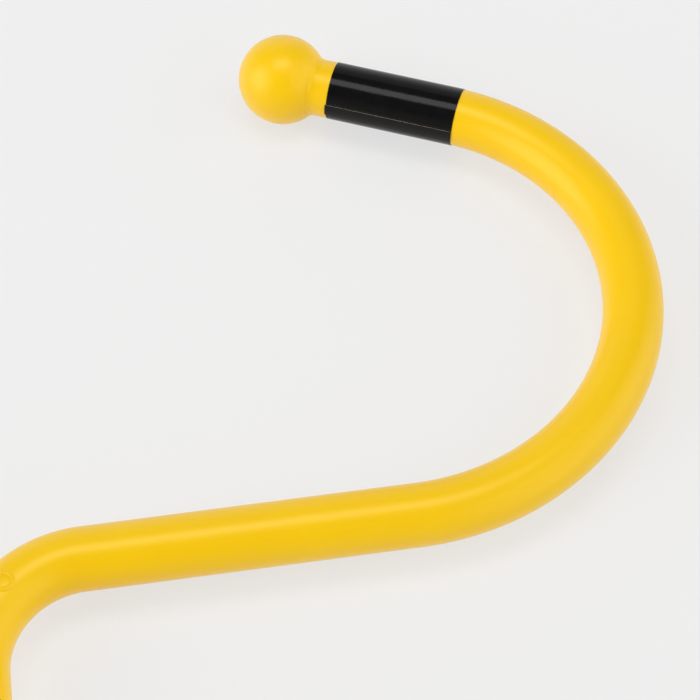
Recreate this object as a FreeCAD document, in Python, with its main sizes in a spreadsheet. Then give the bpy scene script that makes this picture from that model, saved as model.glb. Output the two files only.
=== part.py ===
import FreeCAD, Part
import math
import os
import Sketcher
from FreeCAD import Placement, Rotation, Vector

# A hooked self-massage cane that comes apart in the middle of its shaft.
# It lies in the XY plane: the shaft runs along Y through the origin, which is on the
# shaft's axis where the two halves meet. The large hook is on the +Y side, the small
# one on the -Y side, and the centre plane of the whole tube is z = 0.

doc = FreeCAD.newDocument("hooked_massage_cane")

# Driving dimensions, in millimetres and degrees.
SIZES = [
    ("tube_radius", 11.0, "outside of the moulded tube"),
    ("cut_margin", 1.0, "how far a cut runs past the tube's surface"),
    ("ball_radius", 17.4, "ball tips"),
    ("neck_fillet", 5.0, "concave fillet between ball and tube"),
    ("upper_shaft_length", 100.0, "straight shaft of the upper half"),
    ("upper_bend_radius", 37.4, "centreline of the upper shaft bend"),
    ("bend_angle", 90.0, "turn from shaft to arm"),
    ("upper_arm_length", 114.1, "straight arm of the large hook"),
    ("upper_first_radius", 93.9, "large hook, first stretch of the curve"),
    ("upper_second_radius", 88.4, "large hook, middle stretch"),
    ("upper_third_radius", 86.9, "large hook, last stretch"),
    ("first_angle", 60.0, "turn of the first stretch"),
    ("second_angle", 50.0, "turn of the middle stretch"),
    ("third_angle", 45.9, "turn of the last stretch"),
    ("upper_tip_length", 68.2, "straight end of the large hook up to the ball's centre"),
    ("lower_shaft_length", 98.5, "straight shaft of the lower half"),
    ("lower_bend_radius", 37.4, "centreline of the lower shaft bend"),
    ("lower_arm_length", 66.0, "straight arm of the small hook"),
    ("lower_first_radius", 62.0, "small hook, first stretch of the curve"),
    ("lower_second_radius", 58.0, "small hook, middle stretch"),
    ("lower_third_radius", 56.0, "small hook, last stretch"),
    ("lower_tip_length", 44.0, "straight end of the small hook up to the ball's centre"),
    ("port_angle", 46.6, "place of the port plug, as an angle into the bend"),
    ("port_offset", 0.9, "port from the centreline, towards the outside of the bend"),
    ("port_radius", 2.6, "moulding port"),
    ("port_plug_radius", 4.2, "head of the port plug"),
    ("port_plug_head", 1.1, "thickness of the port plug's head"),
    ("port_plug_stem", 3.4, "length of the port plug's stem"),
    ("port_plug_rim", 1.2, "width of the raised rim on the plug"),
    ("port_plug_rim_rise", 0.3, "height of the raised rim"),
    ("port_recess", 1.0, "depth of the seat of the plug's head"),
    ("port_gap", 0.12, "gap round the plug's head"),
    ("label_start", 21.3, "from the ball's centre to the label"),
    ("label_curve_angle", 2.2, "turn of the curve that the label covers past the straight end"),
    ("label_film", 0.15, "thickness of the label's film"),
    ("label_lap_angle", 24.0, "turn over which the film laps over itself"),
    ("label_lap_place_angle", 253.0, "place of the lap round the tube"),
    ("socket_radius", 8.0, "bore that takes the spigot"),
    ("socket_depth", 82.0, "depth of that bore in the upper half"),
    ("nose_wall", 1.5, "wall of the collet nose round the socket"),
    ("nose_length", 24.0, "length of the collet nose"),
    ("nose_chamfer", 0.7, "lead-in at the end of the nose"),
    ("finger_count", 4.0, "fingers of the collet"),
    ("finger_slot", 1.6, "width of the slots between fingers"),
    ("finger_length", 16.0, "depth of those slots"),
    ("spigot_clearance", 0.05, "radial running fit of the spigot"),
    ("spigot_wall", 2.0, "wall of the spigot tube"),
    ("spigot_reach", 70.0, "spigot beyond the joint face"),
    ("spigot_hold", 60.0, "spigot pressed into the lower half"),
    ("pin_radius", 1.5, "cross pins"),
    ("pin_offset", 22.0, "first pin from the end of the lower half"),
    ("pin_spacing", 26.0, "distance between the pins"),
    ("pin_inset", 0.3, "pin ends below the tube's surface"),
    ("key_width", 3.0, "alignment key"),
    ("key_length", 12.0, "alignment key along the shaft"),
    ("key_rise", 1.25, "key above the spigot's surface"),
    ("key_offset", 27.0, "key from the joint face"),
    ("key_clearance", 0.3, "gap round the key in its keyway"),
    ("ring_width", 1.4, "anti-rattle band along the spigot"),
    ("ring_thickness", 1.0, "anti-rattle band, radial thickness"),
    ("ring_setback", 9.3, "anti-rattle band from the end of the spigot"),
    ("ring_groove_play", 0.1, "groove wider than the band, each side"),
    ("end_plug_head", 2.0, "head of the spigot's end plug"),
    ("end_plug_stem", 10.0, "stem of the spigot's end plug"),
    ("end_plug_inset", 0.45, "head smaller than the spigot"),
    ("washer_thickness", 1.5, "soft washer between the halves"),
    ("washer_inset", 0.2, "washer smaller than the nose"),
    ("collar_wall", 2.1, "core of the locking collar round the tube"),
    ("collar_top", 30.0, "upper end of the collar from the joint face"),
    ("collar_bottom", 8.0, "lower end of the collar from the joint face"),
    ("collar_clearance", 0.3, "gap between collar and tube"),
    ("collar_chamfer", 1.0, "outer edges of the collar"),
    ("clip_offset", 20.0, "retaining ring from the joint face"),
    ("clip_thickness", 1.2, "retaining ring along the shaft"),
    ("clip_width", 1.4, "retaining ring, radial width"),
    ("clip_seat", 0.6, "depth of the ring's groove in the nose"),
    ("clip_play", 0.05, "gap round the retaining ring"),
    ("clip_gap_angle", 40.0, "opening of the retaining ring"),
    ("grip_start", 2.0, "lower edge of the rubber grip from the collar's end"),
    ("grip_length", 26.0, "rubber grip along the collar"),
    ("grip_thickness", 1.5, "rubber grip"),
    ("grip_flutes", 16.0, "flutes round the grip"),
    ("flute_radius", 1.6, "flutes of the grip"),
    ("flute_depth", 0.8, "depth of the flutes"),
]

sheet = doc.addObject("Spreadsheet::Sheet", "Sizes")
for row, (alias, value, meaning) in enumerate(SIZES, start=1):
    sheet.set("A%d" % row, meaning)
    sheet.set("B%d" % row, str(value))
    sheet.setAlias("B%d" % row, alias)
doc.recompute()


class Size:
    """A length or angle: its value, and the sheet expression that it comes from."""

    def __init__(self, text, value):
        self.text = text
        self.value = value

    def __add__(self, other):
        other = as_size(other)
        return Size("(%s + %s)" % (self.text, other.text), self.value + other.value)

    def __sub__(self, other):
        other = as_size(other)
        return Size("(%s - %s)" % (self.text, other.text), self.value - other.value)

    def __mul__(self, factor):
        return Size("(%s * %s)" % (self.text, factor), self.value * factor)

    def __neg__(self):
        return Size("(-%s)" % self.text, -self.value)


def as_size(number):
    return number if isinstance(number, Size) else Size(str(number), float(number))


def size(alias):
    return Size("Sizes." + alias, float(sheet.get(alias)))


NOTHING = as_size(0)
FULL_TURN = as_size(360)


def bind(thing, **properties):
    """Ties properties of an object to the sheet."""
    for name, amount in properties.items():
        thing.setExpression(name, amount.text)


def place(thing, x=NOTHING, y=NOTHING, z=NOTHING, rotation=Rotation()):
    """Puts an object at a point that follows the sheet."""
    thing.Placement = Placement(Vector(x.value, y.value, z.value), rotation)
    for name, amount in (("x", x), ("y", y), ("z", z)):
        if amount is not NOTHING:
            thing.setExpression("Placement.Base." + name, amount.text)


def nose_radius():
    return size("socket_radius") + size("nose_wall")


def collar_radius():
    return size("tube_radius") + size("collar_clearance") + size("collar_wall")


# Sketches ------------------------------------------------------------------


def new_body(label):
    body = doc.addObject("PartDesign::Body", label)
    body.Label = label
    return body


def origin_feature(body, role):
    return next(item for item in body.Origin.OriginFeatures if item.Role == role)


def new_sketch(body, name, plane, offset=Placement()):
    sketch = body.newObject("Sketcher::SketchObject", name)
    sketch.AttachmentSupport = [(origin_feature(body, plane), "")]
    sketch.MapMode = "FlatFace"
    sketch.AttachmentOffset = offset
    return sketch


def dimension(sketch, kind, places, amount, unit=""):
    """Adds a dimension that follows the sheet. Angles are in degrees."""
    value = math.radians(amount.value) if unit else amount.value
    index = sketch.addConstraint(Sketcher.Constraint(kind, *places, value))
    name = "%s_%d" % (kind.lower(), index)
    sketch.renameConstraint(index, name)
    sketch.setExpression("Constraints." + name, amount.text + unit)


def fix_point(sketch, edge, end, x, y):
    """Holds one end of an edge at (x, y) of the sketch."""
    for amount, kind, axis in ((x, "DistanceX", -2), (y, "DistanceY", -1)):
        if amount is NOTHING:
            sketch.addConstraint(Sketcher.Constraint("PointOnObject", edge, end, axis))
        else:
            dimension(sketch, kind, (-1, 1, edge, end), amount)


def add_outline(sketch, corners):
    """Closed outline of straight edges through corners given as pairs of sizes."""
    points = [Vector(x.value, y.value, 0) for x, y in corners]
    count = len(points)
    first = sketch.GeometryCount
    for index in range(count):
        edge = Part.LineSegment(points[index], points[(index + 1) % count])
        sketch.addGeometry(edge, False)
    for index in range(count):
        after = first + (index + 1) % count
        joint = Sketcher.Constraint("Coincident", first + index, 2, after, 1)
        sketch.addConstraint(joint)
    for index, (x, y) in enumerate(corners):
        fix_point(sketch, first + index, 1, x, y)


def add_circle(sketch, radius, x=NOTHING, y=NOTHING):
    circle = Part.Circle(Vector(x.value, y.value, 0), Vector(0, 0, 1), radius.value)
    edge = sketch.addGeometry(circle, False)
    fix_point(sketch, edge, 3, x, y)
    dimension(sketch, "Radius", (edge,), radius)


# Features ------------------------------------------------------------------


def revolve(body, sketch, kind="PartDesign::Revolution", axis="V_Axis"):
    feature = body.newObject(kind, sketch.Name + "_turn")
    feature.Profile = sketch
    feature.ReferenceAxis = (sketch, [axis])
    feature.Angle = 360
    return feature


def turned_body(label, corners):
    """Piece turned about the shaft's direction, from (radius, height) corners."""
    body = new_body(label)
    sketch = new_sketch(body, label + "_profile", "XY_Plane")
    add_outline(sketch, corners)
    revolve(body, sketch)
    return body


def pocket(body, sketch, depth, both_ways=False):
    cut = body.newObject("PartDesign::Pocket", sketch.Name + "_cut")
    cut.Profile = sketch
    cut.Length = depth.value
    bind(cut, Length=depth)
    if both_ways:
        cut.Midplane = True
    return cut


def polar_pattern(body, feature, count):
    """Repeats a cut all round the shaft's direction."""
    pattern = body.newObject("PartDesign::PolarPattern", feature.Name + "_round")
    pattern.Originals = [feature]
    pattern.Axis = (origin_feature(body, "Y_Axis"), [""])
    pattern.Angle = 360
    pattern.Occurrences = int(count.value)
    bind(pattern, Occurrences=count)
    body.Tip = pattern


# The route of a hook --------------------------------------------------------


def hook_runs(side):
    """Straight runs (length) and bends (radius, angle, +1 left or -1 right)."""
    return [
        (size(side + "_shaft_length"),),
        (size(side + "_bend_radius"), size("bend_angle"), -1),
        (size(side + "_arm_length"),),
        (size(side + "_first_radius"), size("first_angle"), 1),
        (size(side + "_second_radius"), size("second_angle"), 1),
        (size(side + "_third_radius"), size("third_angle"), 1),
        (size(side + "_tip_length"),),
    ]


def follow(runs):
    """Start, heading and end of each run, from the origin along +Y."""
    point = Vector(0, 0, 0)
    heading = 90.0
    stretches = []
    for run in runs:
        ahead = Rotation(Vector(0, 0, 1), heading).multVec(Vector(1, 0, 0))
        if len(run) == 1:
            centre = None
            end = point + ahead * run[0].value
            turned = heading
        else:
            radius, sweep, side = run
            turn = Rotation(Vector(0, 0, 1), side * sweep.value)
            centre = point + Vector(-ahead.y, ahead.x, 0) * (side * radius.value)
            end = centre + turn.multVec(point - centre)
            turned = heading + side * sweep.value
        stretches.append((point, heading, centre, end, turned))
        point = end
        heading = turned
    return stretches


def add_route(sketch, runs):
    """Chain of tangent lines and arcs, each with its own length or radius and turn."""
    for edge, (run, stretch) in enumerate(zip(runs, follow(runs))):
        point, heading, centre, end, turned = stretch
        if centre is None:
            sketch.addGeometry(Part.LineSegment(point, end), False)
        else:
            radius, sweep, side = run
            circle = Part.Circle(centre, Vector(0, 0, 1), radius.value)
            low, high = sorted((heading - side * 90, turned - side * 90))
            arc = Part.ArcOfCircle(circle, math.radians(low), math.radians(high))
            sketch.addGeometry(arc, False)
    sketch.addConstraint(Sketcher.Constraint("Coincident", 0, 1, -1, 1))
    sketch.addConstraint(Sketcher.Constraint("PointOnObject", 0, 2, -2))
    for edge, run in enumerate(runs):
        if edge:
            before = runs[edge - 1]
            leaves = 1 if len(before) == 3 and before[2] < 0 else 2
            enters = 2 if len(run) == 3 and run[2] < 0 else 1
            touch = Sketcher.Constraint("Tangent", edge - 1, leaves, edge, enters)
            sketch.addConstraint(touch)
        if len(run) == 1:
            dimension(sketch, "Distance", (edge,), run[0])
        else:
            dimension(sketch, "Radius", (edge,), run[0])
            dimension(sketch, "Angle", (edge,), run[1], unit=" * 1 deg")


def tip_frame(runs):
    """At the ball's centre, with X pointing back along the straight tip."""
    end, turned = follow(runs)[-1][3:]
    return Placement(end, Rotation(Vector(0, 0, 1), turned + 180))


def port_place(runs):
    """Point of the route's plane above which the port plug sits."""
    start, heading, centre, end, turned = follow(runs)[1]
    turn = Rotation(Vector(0, 0, 1), -size("port_angle").value)
    outward = turn.multVec(start - centre).normalize()
    return centre + outward * (runs[1][0] + size("port_offset")).value


# The moulded halves ----------------------------------------------------------


def add_ball(body, runs):
    """Ball tip with a concave fillet down to the tube."""
    ball = size("ball_radius")
    tube = size("tube_radius")
    fillet = size("neck_fillet")
    rise = tube.value + fillet.value
    reach = math.sqrt((ball.value + fillet.value) ** 2 - rise ** 2)
    lean = math.atan2(rise, reach)
    up = Vector(0, 0, 1)
    sketch = new_sketch(body, body.Name + "_ball", "XY_Plane", tip_frame(runs))
    sketch.addGeometry(
        [
            Part.ArcOfCircle(Part.Circle(Vector(), up, ball.value), lean, math.pi),
            Part.ArcOfCircle(
                Part.Circle(Vector(reach, rise, 0), up, fillet.value),
                math.pi + lean,
                1.5 * math.pi,
            ),
            Part.LineSegment(Vector(reach, tube.value, 0), Vector(reach, 0, 0)),
            Part.LineSegment(Vector(reach, 0, 0), Vector(-ball.value, 0, 0)),
        ],
        False,
    )
    sketch.addConstraint(
        [
            Sketcher.Constraint("Coincident", 0, 3, -1, 1),
            Sketcher.Constraint("Tangent", 0, 1, 1, 1),
            Sketcher.Constraint("Vertical", 1, 3, 1, 2),
            Sketcher.Constraint("Coincident", 1, 2, 2, 1),
            Sketcher.Constraint("Vertical", 2),
            Sketcher.Constraint("PointOnObject", 2, 2, -1),
            Sketcher.Constraint("Coincident", 2, 2, 3, 1),
            Sketcher.Constraint("Coincident", 3, 2, 0, 2),
            Sketcher.Constraint("PointOnObject", 0, 2, -1),
        ]
    )
    dimension(sketch, "Radius", (0,), ball)
    dimension(sketch, "Radius", (1,), fillet)
    dimension(sketch, "DistanceY", (-1, 1, 1, 2), tube)
    revolve(body, sketch, axis="H_Axis")


def add_pipe(body, section, route):
    pipe = body.newObject("PartDesign::AdditivePipe", section.Name + "_pipe")
    pipe.Profile = section
    pipe.Spine = route
    return pipe


def add_port(body, runs):
    """Blind moulding port in the top of the bend, with a flat seat for its plug."""
    tube = size("tube_radius")
    top = port_place(runs) + Vector(0, 0, tube.value)
    hole = new_sketch(body, body.Name + "_port", "XY_Plane", Placement(top, Rotation()))
    add_circle(hole, size("port_radius"))
    pocket(body, hole, size("port_plug_stem") + size("port_recess") + size("port_gap"))
    seat = new_sketch(body, body.Name + "_port_seat", "XY_Plane", Placement(top, Rotation()))
    add_circle(seat, size("port_plug_radius") + size("port_gap"))
    pocket(body, seat, size("port_recess"))


def moulded_hook(label, runs):
    """Tube along the route, with its ball tip and its moulding port."""
    body = new_body(label)
    route = new_sketch(body, label + "_route", "XY_Plane")
    add_route(route, runs)
    section = new_sketch(body, label + "_section", "XZ_Plane")
    add_circle(section, size("tube_radius"))
    add_pipe(body, section, route)
    add_ball(body, runs)
    add_port(body, runs)
    return body


def add_bore(body, radius, depth):
    """Round socket from the joint face."""
    sketch = new_sketch(body, body.Name + "_socket", "XZ_Plane")
    add_circle(sketch, radius)
    pocket(body, sketch, depth)


def upper_hook(runs):
    """Upper half: socket, collet nose with its ring groove, finger slots and keyway."""
    body = moulded_hook("upper_hook", runs)
    nose = nose_radius()
    length = size("nose_length")
    chamfer = size("nose_chamfer")
    outside = size("tube_radius") + size("cut_margin")
    add_bore(body, size("socket_radius"), size("socket_depth"))
    turned = new_sketch(body, "nose", "XY_Plane")
    corners = [
        (nose - chamfer, NOTHING),
        (outside, NOTHING),
        (outside, length),
        (nose, length),
        (nose, chamfer),
    ]
    add_outline(turned, corners)
    revolve(body, turned, "PartDesign::Groove")
    groove = new_sketch(body, "clip_groove", "XY_Plane")
    floor = nose - size("clip_seat")
    low = size("clip_offset")
    high = low + size("clip_thickness") + size("clip_play") * 2
    add_outline(groove, [(floor, low), (outside, low), (outside, high), (floor, high)])
    revolve(body, groove, "PartDesign::Groove")
    keyway = new_sketch(body, "keyway", "XZ_Plane")
    half = size("key_width") * 0.5 + size("key_clearance")
    top = size("socket_radius") + size("key_rise") + size("key_clearance")
    add_outline(keyway, [(-half, NOTHING), (half, NOTHING), (half, top), (-half, top)])
    reach = size("key_offset") + size("key_length") + size("key_clearance")
    pocket(body, keyway, reach)
    slot = new_sketch(body, "finger_slot", "XZ_Plane")
    half = size("finger_slot") * 0.5
    add_outline(slot, [(-half, NOTHING), (half, NOTHING), (half, outside), (-half, outside)])
    cut = pocket(body, slot, size("finger_length"))
    polar_pattern(body, cut, size("finger_count"))
    return body


def lower_hook(runs):
    """Lower half: blind seat of the spigot and the holes of its cross pins."""
    body = moulded_hook("lower_hook", runs)
    add_bore(body, size("socket_radius") - size("spigot_clearance"), size("spigot_hold"))
    holes = new_sketch(body, "pin_holes", "XY_Plane")
    for number in range(2):
        along = size("pin_offset") + size("pin_spacing") * number
        add_circle(holes, size("pin_radius"), y=along)
    pocket(body, holes, (size("tube_radius") + size("cut_margin")) * 2, both_ways=True)
    half_turn = Rotation(Vector(0, 0, 1), 180)
    place(body, y=-size("washer_thickness"), rotation=half_turn)
    return body


# Pieces on the tube -----------------------------------------------------------


def port_plug(label, runs, half):
    """Press-in plug with a raised rim, flush with the top of the bend."""
    head = size("port_plug_radius")
    stem = size("port_plug_stem")
    top = stem + size("port_plug_head")
    rim = head - size("port_plug_rim")
    high = top + size("port_plug_rim_rise")
    corners = [
        (NOTHING, NOTHING),
        (size("port_radius"), NOTHING),
        (size("port_radius"), stem),
        (head, stem),
        (head, high),
        (rim, high),
        (rim, top),
        (NOTHING, top),
    ]
    body = turned_body(label, corners)
    seat = size("tube_radius").value - size("port_recess").value - stem.value
    point = half.Placement.multVec(port_place(runs) + Vector(0, 0, seat))
    body.Placement = Placement(point, Rotation(Vector(1, 0, 0), 90))
    return body


def sector(name, radius, turn, length):
    tube = doc.addObject("Part::Cylinder", name)
    bind(tube, Radius=radius, Height=length, Angle=turn)
    return tube


def add_sector(sketch, inner, outer, turn):
    """Part of a ring round the sketch's origin, from its X axis."""
    centre = Vector()
    up = Vector(0, 0, 1)
    far = math.radians(turn.value)
    first = sketch.GeometryCount
    for radius in (inner, outer):
        circle = Part.Circle(centre, up, radius.value)
        sketch.addGeometry(Part.ArcOfCircle(circle, 0, far), False)
    for angle in (0, far):
        along = Vector(math.cos(angle), math.sin(angle), 0)
        edge = Part.LineSegment(along * inner.value, along * outer.value)
        sketch.addGeometry(edge, False)
    inside, outside, start, end = range(first, first + 4)
    for arc, radius in ((inside, inner), (outside, outer)):
        sketch.addConstraint(Sketcher.Constraint("Coincident", arc, 3, -1, 1))
        dimension(sketch, "Radius", (arc,), radius)
    for line, arc_end in ((start, 1), (end, 2)):
        sketch.addConstraint(Sketcher.Constraint("Coincident", line, 1, inside, arc_end))
        sketch.addConstraint(Sketcher.Constraint("Coincident", line, 2, outside, arc_end))
        sketch.addConstraint(Sketcher.Constraint("PointOnObject", -1, 1, line))
    sketch.addConstraint(Sketcher.Constraint("PointOnObject", inside, 1, -1))
    dimension(sketch, "Angle", (inside,), turn, unit=" * 1 deg")


def label_band(runs):
    """Blank film label wrapped once round the straight tip, lapping over itself."""
    tube = size("tube_radius")
    thick = size("label_film")
    body = new_body("label_band")
    route = new_sketch(body, "label_route", "XY_Plane")
    straight = size("upper_tip_length") - size("label_start")
    add_route(route, [(straight,), (size("upper_third_radius"), size("label_curve_angle"), -1)])
    layer = new_sketch(body, "label_layer", "XZ_Plane")
    add_circle(layer, tube)
    add_circle(layer, tube + thick)
    add_pipe(body, layer, route)
    turned = Placement(Vector(), Rotation(Vector(0, 0, 1), size("label_lap_place_angle").value))
    lap = new_sketch(body, "label_lap_layer", "XZ_Plane", turned)
    add_sector(lap, tube + thick, tube + thick * 2, size("label_lap_angle"))
    add_pipe(body, lap, route)
    along = Placement(Vector(size("label_start").value, 0, 0), Rotation(Vector(0, 0, 1), -90))
    body.Placement = tip_frame(runs).multiply(along)
    return body


# The coupling -----------------------------------------------------------------


def spigot_tube():
    """Metal tube pressed and pinned into the lower half, running in the upper half."""
    outer = size("socket_radius") - size("spigot_clearance")
    inner = outer - size("spigot_wall")
    hold = size("spigot_hold")
    length = hold + size("washer_thickness") + size("spigot_reach")
    high = length - size("ring_setback") + size("ring_groove_play")
    low = high - size("ring_width") - size("ring_groove_play") * 2
    floor = outer - size("ring_thickness")
    corners = [
        (inner, NOTHING),
        (outer, NOTHING),
        (outer, low),
        (floor, low),
        (floor, high),
        (outer, high),
        (outer, length),
        (inner, length),
    ]
    body = turned_body("spigot_tube", corners)
    holes = new_sketch(body, "spigot_pin_holes", "XY_Plane")
    for number in range(2):
        along = hold - size("pin_offset") - size("pin_spacing") * number
        add_circle(holes, size("pin_radius"), y=along)
    pocket(body, holes, (outer + size("cut_margin")) * 2, both_ways=True)
    top = Placement(Vector(0, 0, outer.value), Rotation())
    slot = new_sketch(body, "key_slot", "XY_Plane", top)
    half = size("key_width") * 0.5
    start = hold + size("washer_thickness") + size("key_offset")
    end = start + size("key_length")
    add_outline(slot, [(-half, start), (half, start), (half, end), (-half, end)])
    pocket(body, slot, size("spigot_wall"))
    place(body, y=-hold - size("washer_thickness"))
    return body


def alignment_key():
    """Key in the spigot's wall that keeps the two hooks in one plane."""
    key = doc.addObject("Part::Box", "alignment_key")
    key.Label = "alignment_key"
    width = size("key_width")
    outer = size("socket_radius") - size("spigot_clearance")
    bottom = outer - size("spigot_wall")
    bind(key, Length=width, Width=size("key_length"), Height=size("spigot_wall") + size("key_rise"))
    place(key, x=-width * 0.5, y=size("key_offset"), z=bottom)
    return key


def spigot_pins():
    """Two cross pins through the lower half and the spigot."""
    half = size("tube_radius") - size("pin_inset")
    pins = []
    for number in range(2):
        pin = doc.addObject("Part::Cylinder", "pin_%d" % number)
        bind(pin, Radius=size("pin_radius"), Height=half * 2)
        along = size("washer_thickness") + size("pin_offset") + size("pin_spacing") * number
        place(pin, y=-along, z=-half)
        pins.append(pin)
    group = doc.addObject("Part::Compound", "spigot_pins")
    group.Links = pins
    group.Label = "spigot_pins"
    return group


def spigot_end_plug():
    """Plug that closes the spigot's open end."""
    stem = size("socket_radius") - size("spigot_clearance") - size("spigot_wall")
    head = size("socket_radius") - size("spigot_clearance") - size("end_plug_inset")
    low = size("end_plug_stem")
    top = low + size("end_plug_head")
    bevel = size("end_plug_inset")
    corners = [
        (NOTHING, NOTHING),
        (stem, NOTHING),
        (stem, low),
        (head, low),
        (head, top - bevel),
        (head - bevel, top),
        (NOTHING, top),
    ]
    body = turned_body("spigot_end_plug", corners)
    place(body, y=size("spigot_reach") - low)
    return body


def anti_rattle_ring():
    """Rubber band in the spigot's groove, flush with the spigot."""
    outer = size("socket_radius") - size("spigot_clearance")
    inner = outer - size("ring_thickness")
    width = size("ring_width")
    corners = [(inner, NOTHING), (outer, NOTHING), (outer, width), (inner, width)]
    body = turned_body("anti_rattle_ring", corners)
    place(body, y=size("spigot_reach") - size("ring_setback") - width)
    return body


def joint_washer():
    """Soft washer on the end face of the lower half."""
    thick = size("washer_thickness")
    inner = size("socket_radius")
    outer = nose_radius() - size("washer_inset")
    corners = [(inner, NOTHING), (outer, NOTHING), (outer, thick), (inner, thick)]
    body = turned_body("joint_washer", corners)
    place(body, y=-thick)
    return body


def retaining_ring():
    """Open spring ring that holds the collar on the nose. Its opening faces the key."""
    inner = nose_radius() - size("clip_seat") + size("clip_play")
    outer = inner + size("clip_width")
    turn = FULL_TURN - size("clip_gap_angle")
    ring = doc.addObject("Part::Cut", "retaining_ring")
    thick = size("clip_thickness")
    ring.Base = sector("ring_outside", outer, turn, thick)
    ring.Tool = sector("ring_inside", inner, turn, thick)
    ring.Label = "retaining_ring"
    opening = Rotation(Vector(0, 1, 0), size("clip_gap_angle").value / 2 - 90)
    along_shaft = Rotation(Vector(1, 0, 0), -90)
    place(ring, y=size("clip_offset") + size("clip_play"), rotation=opening * along_shaft)
    return ring


def locking_collar():
    """Twist collar round the collet nose, with skirts over both tube ends."""
    gap = size("collar_clearance")
    skirt = size("tube_radius") + gap
    neck = nose_radius() + gap
    outer = collar_radius()
    bevel = size("collar_chamfer")
    bottom = size("collar_bottom")
    top = bottom + size("collar_top")
    step = bottom + gap
    shoulder = bottom + size("nose_length") - gap
    play = size("clip_play")
    groove = nose_radius() - size("clip_seat") + size("clip_width") + play * 3
    groove_low = bottom + size("clip_offset")
    groove_high = groove_low + size("clip_thickness") + play * 2
    grip_low = size("grip_start")
    grip_high = grip_low + size("grip_length")
    land = outer + size("grip_thickness")
    corners = [
        (skirt, NOTHING),
        (land - bevel, NOTHING),
        (land, bevel),
        (land, grip_low),
        (outer, grip_low),
        (outer, grip_high),
        (land, grip_high),
        (land, top - bevel),
        (land - bevel, top),
        (skirt, top),
        (skirt, shoulder),
        (neck, shoulder),
        (neck, groove_high),
        (groove, groove_high),
        (groove, groove_low),
        (neck, groove_low),
        (neck, step),
        (skirt, step),
    ]
    body = turned_body("locking_collar", corners)
    place(body, y=-bottom)
    return body


def collar_grip():
    """Rubber sleeve in the collar's recess, with flutes for the fingers."""
    inner = collar_radius()
    outer = inner + size("grip_thickness")
    length = size("grip_length")
    corners = [(inner, NOTHING), (outer, NOTHING), (outer, length), (inner, length)]
    body = turned_body("collar_grip", corners)
    flute = new_sketch(body, "grip_flute", "XZ_Plane")
    radius = size("flute_radius")
    add_circle(flute, radius, x=outer + radius - size("flute_depth"))
    cut = pocket(body, flute, length)
    polar_pattern(body, cut, size("grip_flutes"))
    place(body, y=size("grip_start") - size("collar_bottom"))
    return body


# The assembly -------------------------------------------------------------------

upper_runs = hook_runs("upper")
lower_runs = hook_runs("lower")
upper = upper_hook(upper_runs)
lower = lower_hook(lower_runs)
pieces = [
    upper,
    port_plug("upper_port_plug", upper_runs, upper),
    label_band(upper_runs),
    retaining_ring(),
    locking_collar(),
    collar_grip(),
    lower,
    port_plug("lower_port_plug", lower_runs, lower),
    spigot_tube(),
    alignment_key(),
    spigot_pins(),
    spigot_end_plug(),
    anti_rattle_ring(),
    joint_washer(),
]
doc.recompute()

for item in doc.Objects:
    if "Invalid" in item.State or "Error" in item.State:
        raise RuntimeError("%s failed: %s" % (item.Label, item.State))
for piece in pieces:
    if piece.Shape.isNull() or not piece.Shape.isValid():
        raise RuntimeError("%s has no valid shape" % piece.Label)

os.makedirs("parts", exist_ok=True)
for piece in pieces:
    piece.Shape.exportStep(os.path.join("parts", piece.Label + ".step"))
    box = piece.Shape.BoundBox
    print(
        "%-18s %2d solids %10.1f mm3  x %.1f..%.1f  y %.1f..%.1f  z %.1f..%.1f"
        % (
            piece.Label,
            len(piece.Shape.Solids),
            piece.Shape.Volume,
            box.XMin,
            box.XMax,
            box.YMin,
            box.YMax,
            box.ZMin,
            box.ZMax,
        )
    )
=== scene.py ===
from math import atan2, cos, degrees, pi, radians, sin, sqrt

import bpy
from mathutils import Matrix, Vector


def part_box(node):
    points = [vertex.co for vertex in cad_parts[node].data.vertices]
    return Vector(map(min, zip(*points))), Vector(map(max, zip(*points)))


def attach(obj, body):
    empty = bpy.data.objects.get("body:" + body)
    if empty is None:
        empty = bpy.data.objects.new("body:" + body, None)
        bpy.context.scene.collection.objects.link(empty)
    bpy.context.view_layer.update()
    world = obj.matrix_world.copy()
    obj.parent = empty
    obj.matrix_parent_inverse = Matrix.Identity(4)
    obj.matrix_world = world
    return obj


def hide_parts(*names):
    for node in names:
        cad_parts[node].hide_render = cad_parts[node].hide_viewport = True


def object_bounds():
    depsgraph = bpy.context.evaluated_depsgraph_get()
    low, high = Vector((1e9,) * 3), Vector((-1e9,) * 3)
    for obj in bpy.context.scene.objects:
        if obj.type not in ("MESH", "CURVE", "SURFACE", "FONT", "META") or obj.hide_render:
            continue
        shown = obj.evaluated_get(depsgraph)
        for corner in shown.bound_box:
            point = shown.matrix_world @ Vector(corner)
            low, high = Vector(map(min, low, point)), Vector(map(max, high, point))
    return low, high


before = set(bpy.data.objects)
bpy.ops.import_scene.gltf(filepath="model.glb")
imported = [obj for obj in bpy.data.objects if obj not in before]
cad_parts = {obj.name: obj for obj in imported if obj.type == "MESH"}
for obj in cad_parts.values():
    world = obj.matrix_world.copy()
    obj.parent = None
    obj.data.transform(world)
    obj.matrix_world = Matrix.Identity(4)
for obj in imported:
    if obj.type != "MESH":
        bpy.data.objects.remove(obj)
cad_low, cad_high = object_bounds()

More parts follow.
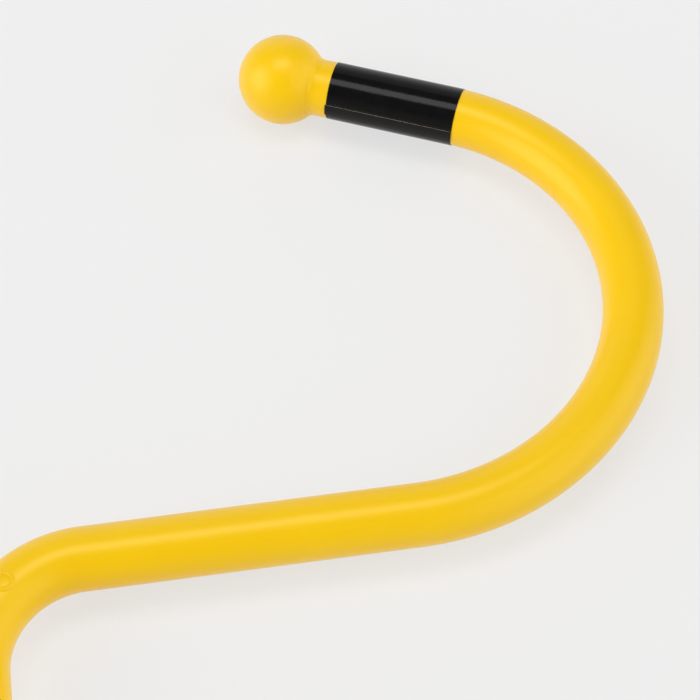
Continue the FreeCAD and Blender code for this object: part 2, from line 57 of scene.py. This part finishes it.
# Camera: a long lens held low over the table, looking along the shaft at the large hook,
# with the rest of the cane running out of the picture below.
looked_at = Vector((0.138316, 0.207062, 0.0))
camera_distance = 0.724624
camera_height_angle = radians(56.8923)
camera_side_angle = radians(-8.425)
sensor_width_mm = 36
lens_per_sensor = 2.889576
nearest_seen = 0.01
toward_camera = Vector(
    (
        sin(camera_side_angle) * cos(camera_height_angle),
        -cos(camera_side_angle) * cos(camera_height_angle),
        sin(camera_height_angle),
    )
)
camera_data = bpy.data.cameras.new("camera")
camera_data.sensor_width = sensor_width_mm
camera_data.lens = sensor_width_mm * lens_per_sensor
camera_data.clip_start = nearest_seen
camera = bpy.data.objects.new("camera", camera_data)
bpy.context.scene.collection.objects.link(camera)
camera.location = looked_at + toward_camera * camera_distance
camera.rotation_euler = (pi / 2 - camera_height_angle, 0, camera_side_angle)
bpy.context.scene.camera = camera

# Floor: a plain pale table top, just under the balls that the cane lies on. Seen directly
# or in a gloss, most of its shade is its own even grey, so the cane's shadow stays faint.
floor_width = 40
floor_grey = (0.88, 0.88, 0.88, 1)
floor_share_even = 0.72


def start_paint(name, settings):
    """New node material, with the given settings on its main shader."""
    paint = bpy.data.materials.new(name)
    paint.use_nodes = True
    shader = paint.node_tree.nodes["Principled BSDF"]
    for socket, amount in settings.items():
        shader.inputs[socket].default_value = amount
    return paint


bpy.ops.object.select_all(action="DESELECT")
bpy.ops.mesh.primitive_plane_add(size=floor_width, location=(0, 0, cad_low[2]))
floor = bpy.context.object
floor.name = "floor"
floor_paint = start_paint(
    "pale_floor", {"Base Color": floor_grey, "Roughness": 0.9, "Specular IOR Level": 0.1}
)
nodes = floor_paint.node_tree.nodes
links = floor_paint.node_tree.links
even_grey = nodes.new("ShaderNodeEmission")
even_grey.inputs["Color"].default_value = floor_grey
ray = nodes.new("ShaderNodeLightPath")
seen = nodes.new("ShaderNodeMath")
seen.operation = "MAXIMUM"
seen_through = nodes.new("ShaderNodeMath")
seen_through.operation = "MAXIMUM"
share = nodes.new("ShaderNodeMath")
share.operation = "MULTIPLY"
share.inputs[1].default_value = floor_share_even
blend = nodes.new("ShaderNodeMixShader")
links.new(ray.outputs["Is Camera Ray"], seen.inputs[0])
links.new(ray.outputs["Is Glossy Ray"], seen.inputs[1])
links.new(seen.outputs[0], seen_through.inputs[0])
links.new(ray.outputs["Is Transmission Ray"], seen_through.inputs[1])
links.new(seen_through.outputs[0], share.inputs[0])
links.new(share.outputs[0], blend.inputs["Fac"])
links.new(nodes["Principled BSDF"].outputs["BSDF"], blend.inputs[1])
links.new(even_grey.outputs["Emission"], blend.inputs[2])
links.new(blend.outputs["Shader"], nodes["Material Output"].inputs["Surface"])
floor.data.materials.append(floor_paint)

# Light: a room with pale walls and a darker ceiling, a long softbox overhead, and large soft
# lamps low on both sides and behind.
room_strength = 0.6
wall_height, wall_shade = 0.1, (0.9, 0.9, 0.9, 1)
ceiling_height, ceiling_shade = 0.6, (0.3, 0.3, 0.3, 1)
softbox_length, softbox_width = 0.8, 0.42
softbox_watts = 4.4
softbox_place = (0.08, 0.32, 1.15)
world = bpy.data.worlds.new("pale_room")
bpy.context.scene.world = world
world.use_nodes = True
nodes = world.node_tree.nodes
links = world.node_tree.links
nodes["Background"].inputs["Strength"].default_value = room_strength
look_up = nodes.new("ShaderNodeTexCoord")
height = nodes.new("ShaderNodeSeparateXYZ")
walls = nodes.new("ShaderNodeValToRGB")
walls.color_ramp.elements[0].position = wall_height
walls.color_ramp.elements[0].color = wall_shade
walls.color_ramp.elements[1].position = ceiling_height
walls.color_ramp.elements[1].color = ceiling_shade
links.new(look_up.outputs["Generated"], height.inputs["Vector"])
links.new(height.outputs["Z"], walls.inputs["Fac"])
links.new(walls.outputs["Color"], nodes["Background"].inputs["Color"])
softbox_data = bpy.data.lights.new("softbox", "AREA")
softbox_data.shape = "RECTANGLE"
softbox_data.size = softbox_length
softbox_data.size_y = softbox_width
softbox_data.energy = softbox_watts
softbox = bpy.data.objects.new("softbox", softbox_data)
bpy.context.scene.collection.objects.link(softbox)
softbox.location = softbox_place
for name, strength, spread, toward_lamp in (
    ("left_lamp", 1.5, 52, Vector((-0.90, -0.17, 0.40))),
    ("right_lamp", 1.4, 80, Vector((0.84, -0.38, 0.39))),
    ("back_lamp", 0.35, 60, Vector((0.05, 0.93, 0.36))),
):
    lamp_data = bpy.data.lights.new(name, "SUN")
    lamp_data.energy = strength
    lamp_data.angle = radians(spread)
    lamp = bpy.data.objects.new(name, lamp_data)
    bpy.context.scene.collection.objects.link(lamp)
    lamp.rotation_euler = toward_lamp.to_track_quat("Z", "Y").to_euler()

# Upper half: one moulding of strong warm yellow plastic with a satin skin. A tube of 22 mm
# is bent into the large hook and ends in a ball. Its other end is a collet nose, slotted
# so that it can close on the spigot, with a ring groove outside and a keyway inside.
tube_radius = 0.011
ball_radius = 0.0174
neck_fillet = 0.0038
ball_line_depth = 0.00015
ball_line_steps = ((0.35, 1.0), (0.65, 0.7))
round_steps = 96
neck_steps = 14
ball_steps = 60
bend_step_degrees = 1.5
merge_distance = 1e-7
crisp_from = radians(30)
bend_radius = 0.0374
upper_shaft_length = 0.100
upper_arm_length = 0.1141
upper_curve = ((0.0939, 60.0), (0.0884, 50.0), (0.0869, 45.9))
upper_tip_length = 0.0682
socket_radius = 0.008
socket_depth = 0.082
nose_radius = 0.0095
nose_length = 0.024
nose_chamfer = 0.0007
edge_break = 0.0004
ring_groove = (0.020, 0.0213)
ring_groove_depth = 0.0006
finger_slot_width = 0.0016
finger_slot_depth = 0.016
keyway_width = 0.0036
keyway_top = 0.00955
keyway_depth = 0.0393
joint_face = Vector((0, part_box("upper_hook")[0].y, 0))
up_shaft = Vector((0, 1, 0))
neck_rise = tube_radius + neck_fillet
neck_reach = sqrt((ball_radius + neck_fillet) ** 2 - neck_rise**2)


def start_ring(name, centre, radius, steps=round_steps):
    """New mesh with one open ring square to the shaft, in edit mode and selected."""
    bpy.ops.object.select_all(action="DESELECT")
    bpy.ops.mesh.primitive_circle_add(
        vertices=steps, radius=radius, location=centre, rotation=(pi / 2, 0, 0)
    )
    bpy.ops.object.transform_apply(location=True, rotation=True, scale=True)
    piece = bpy.context.object
    piece.name = name
    bpy.ops.object.mode_set(mode="EDIT")
    bpy.ops.mesh.select_all(action="SELECT")
    return piece


def turn_profile(centre, ahead, stations):
    """Carries the selected ring along an axis through (distance, radius) stations, from
    the first one, where the ring is already."""
    for (before, old), (after, new) in zip(stations, stations[1:]):
        bpy.ops.mesh.extrude_region_move(
            TRANSFORM_OT_translate={"value": ahead * (after - before)}
        )
        if new != old:
            bpy.ops.transform.resize(
                value=(new / old, new / old, new / old), center_override=centre + ahead * after
            )


def run_straight(point, heading, length):
    """Carries the selected ring straight ahead and gives the new end of the route."""
    ahead = Vector((cos(heading), sin(heading), 0))
    bpy.ops.mesh.extrude_region_move(TRANSFORM_OT_translate={"value": ahead * length})
    return point + ahead * length


def run_bend(point, heading, radius, degrees_left):
    """Spins the selected ring round a bend and gives the new end and heading. A bend to
    the right has negative degrees."""
    turn = radians(degrees_left)
    side = 1 if degrees_left > 0 else -1
    centre = point + Vector((-sin(heading), cos(heading), 0)) * (side * radius)
    bpy.ops.mesh.spin(
        steps=round(abs(degrees_left) / bend_step_degrees),
        angle=-turn,
        center=centre,
        axis=(0, 0, 1),
    )
    return centre + Matrix.Rotation(turn, 3, "Z") @ (point - centre), heading + turn


def run_hook(point, heading, shaft_left, arm_length, curve, tip_length):
    """The rest of a hook, from a ring on its shaft to the ball, with a fine line cut in
    where the neck's fillet meets it. Gives the ball's centre and the heading there."""
    point = run_straight(point, heading, shaft_left)
    point, heading = run_bend(point, heading, bend_radius, -90)
    point = run_straight(point, heading, arm_length)
    for radius, angle in curve:
        point, heading = run_bend(point, heading, radius, angle)
    point = run_straight(point, heading, tip_length - neck_reach)
    ahead = Vector((cos(heading), sin(heading), 0))
    centre = point + ahead * neck_reach
    lean = atan2(neck_rise, neck_reach)
    stations = [(-neck_reach, tube_radius)]
    for step in range(1, neck_steps + 1):
        angle = pi / 2 - (pi / 2 - lean) * step / neck_steps
        stations.append(
            (-neck_reach + neck_fillet * cos(angle), neck_rise - neck_fillet * sin(angle))
        )
    for share, sunk in ball_line_steps:
        angle = lean + (pi - lean) * share / ball_steps
        off_axis = ball_radius * sin(angle) - ball_line_depth * sunk
        stations.append((-ball_radius * cos(angle), off_axis))
    for step in range(1, ball_steps):
        angle = lean + (pi - lean) * step / ball_steps
        stations.append((-ball_radius * cos(angle), ball_radius * sin(angle)))
    turn_profile(centre, ahead, stations)
    bpy.ops.mesh.edge_face_add()
    bpy.ops.mesh.poke()
    return centre, heading


def close_mesh():
    """Merges doubles, fills the open end and turns every face outwards."""
    bpy.ops.mesh.select_all(action="SELECT")
    bpy.ops.mesh.remove_doubles(threshold=merge_distance)
    bpy.ops.mesh.select_all(action="DESELECT")
    bpy.ops.mesh.select_non_manifold()
    bpy.ops.mesh.edge_face_add()
    bpy.ops.mesh.select_all(action="SELECT")
    bpy.ops.mesh.normals_make_consistent(inside=False)
    bpy.ops.object.mode_set(mode="OBJECT")


def pick(piece):
    """Makes the piece the only one selected, and the active one."""
    bpy.ops.object.select_all(action="DESELECT")
    piece.select_set(True)
    bpy.context.view_layer.objects.active = piece


def select_points(piece, wanted):
    """Leaves the piece in edit mode with only the wanted vertices selected."""
    pick(piece)
    bpy.ops.object.mode_set(mode="EDIT")
    bpy.ops.mesh.select_mode(type="VERT")
    bpy.ops.mesh.select_all(action="DESELECT")
    bpy.ops.object.mode_set(mode="OBJECT")
    for vertex in piece.data.vertices:
        vertex.select = wanted(vertex.co)
    bpy.ops.object.mode_set(mode="EDIT")


def cut_away(piece, cutter):
    """Takes the cutter's shape out of the piece, and deletes the cutter."""
    cut = piece.modifiers.new("cut", "BOOLEAN")
    cut.operation = "DIFFERENCE"
    cut.solver = "EXACT"
    cut.object = cutter
    pick(piece)
    bpy.ops.object.modifier_apply(modifier=cut.name)
    bpy.data.objects.remove(cutter)


def box_cutter(low, high):
    """A box between two corners."""
    bpy.ops.object.select_all(action="DESELECT")
    bpy.ops.mesh.primitive_cube_add(size=1, location=(low + high) / 2)
    bpy.context.object.scale = high - low
    bpy.ops.object.transform_apply(location=True, rotation=True, scale=True)
    return bpy.context.object


def round_cutter(low, high, radius):
    """A round bar that stands between two points, one over the other."""
    bpy.ops.object.select_all(action="DESELECT")
    bpy.ops.mesh.primitive_cylinder_add(
        vertices=round_steps, radius=radius, depth=(high - low).length, location=(low + high) / 2
    )
    bpy.ops.object.transform_apply(location=True, rotation=True, scale=True)
    return bpy.context.object


upper_half = start_ring(
    "upper_half_moulding", joint_face + up_shaft * socket_depth, socket_radius
)
nose_profile = [
    (socket_depth, socket_radius),
    (edge_break, socket_radius),
    (0, socket_radius + edge_break),
    (0, nose_radius - nose_chamfer),
    (nose_chamfer, nose_radius),
    (ring_groove[0], nose_radius),
    (ring_groove[0], nose_radius - ring_groove_depth),
    (ring_groove[1], nose_radius - ring_groove_depth),
    (ring_groove[1], nose_radius),
    (nose_length, nose_radius),
    (nose_length, tube_radius - edge_break),
    (nose_length + edge_break, tube_radius),
]
turn_profile(joint_face, up_shaft, nose_profile)
tube_start = nose_length + edge_break
upper_ball, upper_heading = run_hook(
    joint_face + up_shaft * tube_start,
    pi / 2,
    upper_shaft_length - tube_start,
    upper_arm_length,
    upper_curve,
    upper_tip_length,
)
close_mesh()
half_slot = finger_slot_width / 2
for long_side, short_side in (
    (Vector((1, 0, 0)), Vector((0, 0, 1))),
    (Vector((0, 0, 1)), Vector((1, 0, 0))),
):
    corner = long_side * tube_radius + short_side * half_slot
    low = joint_face - corner - up_shaft * edge_break
    high = joint_face + corner + up_shaft * finger_slot_depth
    cut_away(upper_half, box_cutter(low, high))
cut_away(
    upper_half,
    box_cutter(
        joint_face + Vector((-keyway_width / 2, -edge_break, 0)),
        joint_face + Vector((keyway_width / 2, keyway_depth, keyway_top)),
    ),
)
pick(upper_half)
bpy.ops.object.shade_smooth_by_angle(angle=crisp_from)


def lay_noise(paint, scale, detail=2, stretch=None):
    """Noise laid over a piece in its own metres, drawn out where a stretch is given."""
    nodes = paint.node_tree.nodes
    links = paint.node_tree.links
    place = nodes.new("ShaderNodeTexCoord")
    laid = place.outputs["Object"]
    if stretch:
        draw_out = nodes.new("ShaderNodeMapping")
        draw_out.inputs["Scale"].default_value = stretch
        links.new(laid, draw_out.inputs["Vector"])
        laid = draw_out.outputs["Vector"]
    noise = nodes.new("ShaderNodeTexNoise")
    noise.inputs["Scale"].default_value = scale
    noise.inputs["Detail"].default_value = detail
    links.new(laid, noise.inputs["Vector"])
    return noise.outputs["Fac"]


def vary_colour(paint, noise, first, last, span=(0, 1)):
    """Lets the noise shade the colour between two, over a span of its strength."""
    nodes = paint.node_tree.nodes
    links = paint.node_tree.links
    tone = nodes.new("ShaderNodeValToRGB")
    for end, place, colour in zip(tone.color_ramp.elements, span, (first, last)):
        end.position = place
        end.color = (*colour, 1)
    links.new(noise, tone.inputs["Fac"])
    links.new(tone.outputs["Color"], nodes["Principled BSDF"].inputs["Base Color"])


def vary_roughness(paint, noise, least, most):
    """Lets the noise shade the roughness between two values."""
    nodes = paint.node_tree.nodes
    links = paint.node_tree.links
    gloss = nodes.new("ShaderNodeMapRange")
    gloss.inputs["To Min"].default_value = least
    gloss.inputs["To Max"].default_value = most
    links.new(noise, gloss.inputs["Value"])
    links.new(gloss.outputs["Result"], nodes["Principled BSDF"].inputs["Roughness"])


def raise_grain(paint, noise, strength, depth):
    """Lets the noise raise the surface by up to a depth."""
    nodes = paint.node_tree.nodes
    links = paint.node_tree.links
    relief = nodes.new("ShaderNodeBump")
    relief.inputs["Strength"].default_value = strength
    relief.inputs["Distance"].default_value = depth
    links.new(noise, relief.inputs["Height"])
    links.new(relief.outputs["Normal"], nodes["Principled BSDF"].inputs["Normal"])


satin_yellow = start_paint(
    "satin_yellow_plastic",
    {
        "Roughness": 0.4,
        "Specular IOR Level": 0.45,
        "Specular Tint": (1.0, 0.72, 0.1, 1),
        "Coat Weight": 0.5,
        "Coat Roughness": 0.33,
    },
)
cloud = lay_noise(satin_yellow, 30, detail=3)
vary_colour(satin_yellow, cloud, (0.985, 0.6, 0.0), (1.0, 0.615, 0.0), span=(0.3, 0.7))
grain = lay_noise(satin_yellow, 2600)
raise_grain(satin_yellow, grain, 0.05, 0.0002)
upper_half.data.materials.append(satin_yellow)
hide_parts("upper_hook")
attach(upper_half, "upper_half")

# Lower half: the same moulding with a smaller hook. Its shaft ends square at the joint and
# has a blind bore for the spigot and two holes for the spigot's cross pins.
lower_shaft_length = 0.0985
lower_arm_length = 0.066
lower_curve = ((0.062, 60.0), (0.058, 50.0), (0.056, 45.9))
lower_tip_length = 0.044
seat_radius = 0.00795
seat_depth = 0.060
pin_radius = 0.0015
pin_distances = (0.022, 0.048)
lower_face = Vector((0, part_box("joint_washer")[0].y, 0))
down_shaft = -up_shaft
lower_half = start_ring("lower_half_moulding", lower_face + down_shaft * seat_depth, seat_radius)
turn_profile(
    lower_face,
    down_shaft,
    [
        (seat_depth, seat_radius),
        (edge_break, seat_radius),
        (0, seat_radius + edge_break),
        (0, tube_radius - edge_break),
        (edge_break, tube_radius),
    ],
)
run_hook(
    lower_face + down_shaft * edge_break,
    -pi / 2,
    lower_shaft_length - edge_break,
    lower_arm_length,
    lower_curve,
    lower_tip_length,
)
close_mesh()
above = Vector((0, 0, tube_radius + edge_break))
for distance in pin_distances:
    hole = lower_face + down_shaft * distance
    cut_away(lower_half, round_cutter(hole - above, hole + above, pin_radius))
pick(lower_half)
bpy.ops.object.shade_smooth_by_angle(angle=crisp_from)
lower_half.data.materials.append(satin_yellow)
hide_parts("lower_hook")
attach(lower_half, "lower_half")

# Port plugs: a small cap of the same plastic over the moulding port in the top of each
# bend. A shallow groove parts its flat middle from a soft raised rim, which runs out into
# the tube. Its profile gives radius, rise, and how far the tube's roundness is flattened.
port_seat_radius = 0.0032
port_seat_depth = 0.001
plug_steps = 72
plug_skirt = 0.0006
plug_crisp_from = radians(50)
same_ring = 1e-5
plug_profile = (
    (0.0005, 0.00008, 1),
    (0.0020, 0.00008, 1),
    (0.0021, 0.00004, 1),
    (0.0022, -0.00012, 1),
    (0.0024, -0.00014, 1),
    (0.0026, 0.00006, 1),
    (0.0028, 0.00018, 1),
    (0.0031, 0.00024, 1),
    (0.0033, 0.00020, 0.95),
    (0.0035, 0.00012, 0.75),
    (0.0037, 0.00005, 0.35),
    (0.0039, 0.0, 0.05),
    (0.0040, -0.00006, 0),
)

for name, node, half, body, off_middle in (
    ("upper_port_cap", "upper_port_plug", upper_half, "upper_half", Vector((0.0006, -0.0005, 0))),
    ("lower_port_cap", "lower_port_plug", lower_half, "lower_half", Vector((-0.0006, 0.0005, 0))),
):
    low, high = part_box(node)
    middle = Vector(((low.x + high.x) / 2, (low.y + high.y) / 2, 0)) + off_middle
    over = middle + Vector((0, 0, 2 * tube_radius))
    bpy.ops.object.select_all(action="DESELECT")
    bpy.ops.mesh.primitive_circle_add(
        vertices=plug_steps, radius=plug_profile[0][0], fill_type="TRIFAN", location=over
    )
    bpy.ops.object.transform_apply(location=True, rotation=True, scale=True)
    plug = bpy.context.object
    plug.name = name
    bpy.ops.object.mode_set(mode="EDIT")
    bpy.ops.mesh.select_mode(type="EDGE")
    bpy.ops.mesh.select_all(action="DESELECT")
    bpy.ops.mesh.select_non_manifold()
    for inner, outer in zip(plug_profile, plug_profile[1:]):
        grown = outer[0] / inner[0]
        bpy.ops.mesh.extrude_region_move()
        bpy.ops.transform.resize(value=(grown, grown, grown), center_override=over)
    bpy.ops.object.mode_set(mode="OBJECT")
    lay = plug.modifiers.new("lay_on_tube", "SHRINKWRAP")
    lay.target = half
    lay.wrap_method = "PROJECT"
    lay.use_project_z = True
    lay.use_positive_direction = False
    lay.use_negative_direction = True
    pick(plug)
    bpy.ops.object.modifier_apply(modifier=lay.name)
    for distance, height, flatness in ((0, *plug_profile[0][1:]), *plug_profile):
        select_points(plug, lambda co: abs((co - middle).xy.length - distance) < same_ring)
        bpy.ops.transform.resize(
            value=(1, 1, 1 - flatness), center_override=middle + Vector((0, 0, tube_radius))
        )
        bpy.ops.transform.translate(value=(0, 0, height))
        bpy.ops.object.mode_set(mode="OBJECT")
    bpy.ops.object.mode_set(mode="EDIT")
    bpy.ops.mesh.select_mode(type="EDGE")
    bpy.ops.mesh.select_all(action="DESELECT")
    bpy.ops.mesh.select_non_manifold()
    bpy.ops.mesh.extrude_region_move(TRANSFORM_OT_translate={"value": (0, 0, -plug_skirt)})
    bpy.ops.mesh.edge_face_add()
    bpy.ops.mesh.select_all(action="SELECT")
    bpy.ops.mesh.normals_make_consistent(inside=False)
    bpy.ops.object.mode_set(mode="OBJECT")
    bpy.ops.object.shade_smooth_by_angle(angle=plug_crisp_from)
    plug.data.materials.append(satin_yellow)
    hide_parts(node)
    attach(plug, body)
    seat_floor = middle + Vector((0, 0, tube_radius - port_seat_depth))
    cut_away(half, round_cutter(seat_floor, over, port_seat_radius))
    bpy.ops.object.shade_smooth_by_angle(angle=crisp_from)

# Label: a blank sleeve of thin gloss black film, wrapped once round the straight end of the
# large hook and a little of its curve. Its outer end laps over its inner end and stands off.
film_thickness = 0.0002
label_start = 0.0205
label_curve_degrees = 1.7
label_steps = 120
lap_low_degrees = 162
lap_high_degrees = 189
lap_end_slip = 0.0004
lap_lift = 0.00021
lap_slot = 1
label = start_ring("label_sleeve", Vector(), tube_radius + film_thickness, steps=label_steps)
tip_ahead = Vector((cos(upper_heading), sin(upper_heading), 0))
tip_outside = Vector((sin(upper_heading), -cos(upper_heading), 0))
label_end = upper_ball - tip_ahead * label_start
bpy.ops.transform.rotate(
    value=pi / 2 - upper_heading, orient_axis="Z", center_override=(0, 0, 0)
)
bpy.ops.transform.translate(value=label_end)
point = run_straight(label_end, upper_heading + pi, upper_tip_length - label_start)
run_bend(point, upper_heading + pi, upper_curve[-1][0], -label_curve_degrees)
bpy.ops.mesh.select_all(action="SELECT")
bpy.ops.mesh.normals_make_consistent(inside=False)
bpy.ops.mesh.select_mode(type="FACE")


def round_label(place_on_label):
    """Degrees round the tube from its outer side over its top, and metres along it."""
    arm = place_on_label - label_end
    turn = degrees(atan2(arm.z, arm.dot(tip_outside))) % 360
    return turn, -arm.dot(tip_ahead)


bpy.ops.object.mode_set(mode="OBJECT")
for face in label.data.polygons:
    face.select = lap_low_degrees < round_label(face.center)[0] < lap_high_degrees
bpy.ops.object.mode_set(mode="EDIT")
bpy.ops.mesh.duplicate()
bpy.ops.transform.shrink_fatten(value=lap_lift)
bpy.ops.object.mode_set(mode="OBJECT")
lap_size = sum(vertex.select for vertex in label.data.vertices)
first_of_lap = len(label.data.vertices) - lap_size
lap_points = [vertex.co.copy() for vertex in label.data.vertices[first_of_lap:]]
select_points(label, lambda co: co in lap_points and round_label(co)[1] < film_thickness)
bpy.ops.transform.translate(value=tip_ahead * lap_end_slip)
bpy.ops.object.mode_set(mode="OBJECT")
lap_points = [vertex.co.copy() for vertex in label.data.vertices[first_of_lap:]]
gloss_film = start_paint("gloss_black_film", {"Specular IOR Level": 0.16})
cloud = lay_noise(gloss_film, 220, detail=3)
vary_colour(gloss_film, cloud, (0.0025, 0.0025, 0.003), (0.006, 0.006, 0.0065))
vary_roughness(gloss_film, cloud, 0.1, 0.18)
wrinkle = lay_noise(gloss_film, 90)
raise_grain(gloss_film, wrinkle, 0.12, 0.0006)
# Painted sheen: the lapped strip gets a lighter copy of the black film, standing in for the light
# that the raised lap catches. Through the rim slot, the sleeve's two cut ends take this lighter
# film too.
lap_film_painted_sheen = gloss_film.copy()
lap_film_painted_sheen.name = "lapped_black_film_painted_sheen"
lap_painted_sheen_tone = lap_film_painted_sheen.node_tree.nodes["Color Ramp"].color_ramp
lap_painted_sheen_tone.elements[0].color = (0.006, 0.005, 0.0045, 1)
lap_painted_sheen_tone.elements[1].color = (0.012, 0.0095, 0.0085, 1)
# Painted highlight: the lap's cut edge is coloured light grey, for the thin light line that this
# edge catches.
film_edge_painted_highlight = start_paint("cut_film_edge_painted_highlight", {"Roughness": 0.5})
vary_colour(film_edge_painted_highlight, lay_noise(film_edge_painted_highlight, 300), (0.25, 0.245, 0.24), (0.40, 0.39, 0.38))
for film in (gloss_film, lap_film_painted_sheen, film_edge_painted_highlight):
    label.data.materials.append(film)
for face in label.data.polygons:
    if all(label.data.vertices[corner].co in lap_points for corner in face.vertices):
        face.material_index = lap_slot
wall = label.modifiers.new("film", "SOLIDIFY")
wall.thickness = film_thickness
wall.offset = -1
wall.material_offset_rim = lap_slot
pick(label)
bpy.ops.object.modifier_apply(modifier=wall.name)
bpy.ops.object.shade_smooth_by_angle(angle=crisp_from)
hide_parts("label_band")
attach(label, "upper_half")

# Locking collar and the spigot's end plug: mouldings of matt black plastic. The collar
# closes the collet. Fine moulded grain keeps the light on both soft.
matt_black = start_paint("matt_black_plastic", {"Specular IOR Level": 0.4})
grain = lay_noise(matt_black, 1800, detail=4)
vary_colour(matt_black, grain, (0.012, 0.012, 0.013), (0.03, 0.03, 0.031))
vary_roughness(matt_black, grain, 0.38, 0.55)
raise_grain(matt_black, grain, 0.3, 0.00008)


def paint_nodes(paint, names):
    """Puts the material on every slot of the named CAD pieces."""
    for name in names:
        for material_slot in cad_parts[name].material_slots:
            material_slot.material = paint


paint_nodes(matt_black, ("locking_collar", "spigot_end_plug"))

# Collar grip, joint washer and anti-rattle band: soft black rubber. A fine dull bloom lies
# on it, and the mould's grain shows through.
dull_rubber = start_paint(
    "dull_black_rubber",
    {"Specular IOR Level": 0.3, "Sheen Weight": 0.15, "Sheen Roughness": 0.6},
)
bloom = lay_noise(dull_rubber, 260, detail=5)
vary_colour(dull_rubber, bloom, (0.010, 0.010, 0.010), (0.028, 0.027, 0.026))
vary_roughness(dull_rubber, bloom, 0.62, 0.8)
grain = lay_noise(dull_rubber, 3200)
raise_grain(dull_rubber, grain, 0.35, 0.00006)
paint_nodes(dull_rubber, ("collar_grip", "joint_washer", "anti_rattle_ring"))

# Spigot: a drawn aluminium tube. The die leaves faint lines along it, and the collet
# polishes it a little where it slides.
drawn_metal = start_paint("drawn_aluminium", {"Metallic": 1.0})
lines = lay_noise(drawn_metal, 2400, detail=3, stretch=(1.0, 0.015, 1.0))
vary_colour(drawn_metal, lines, (0.60, 0.61, 0.63), (0.78, 0.79, 0.80))
vary_roughness(drawn_metal, lines, 0.24, 0.4)
raise_grain(drawn_metal, lines, 0.15, 0.00003)
paint_nodes(drawn_metal, ("spigot_tube",))

# Retaining ring, alignment key and cross pins: bright spring steel. It is slightly uneven
# from the tumbler that takes its burrs off.
spring_steel = start_paint("spring_steel", {"Metallic": 1.0})
cloud = lay_noise(spring_steel, 900, detail=4)
vary_colour(spring_steel, cloud, (0.42, 0.42, 0.43), (0.62, 0.62, 0.63))
vary_roughness(spring_steel, cloud, 0.2, 0.36)
paint_nodes(spring_steel, ("retaining_ring", "alignment_key", "spigot_pins"))

# Finish: colours are shown as they are.
bpy.context.scene.view_settings.view_transform = "Standard"
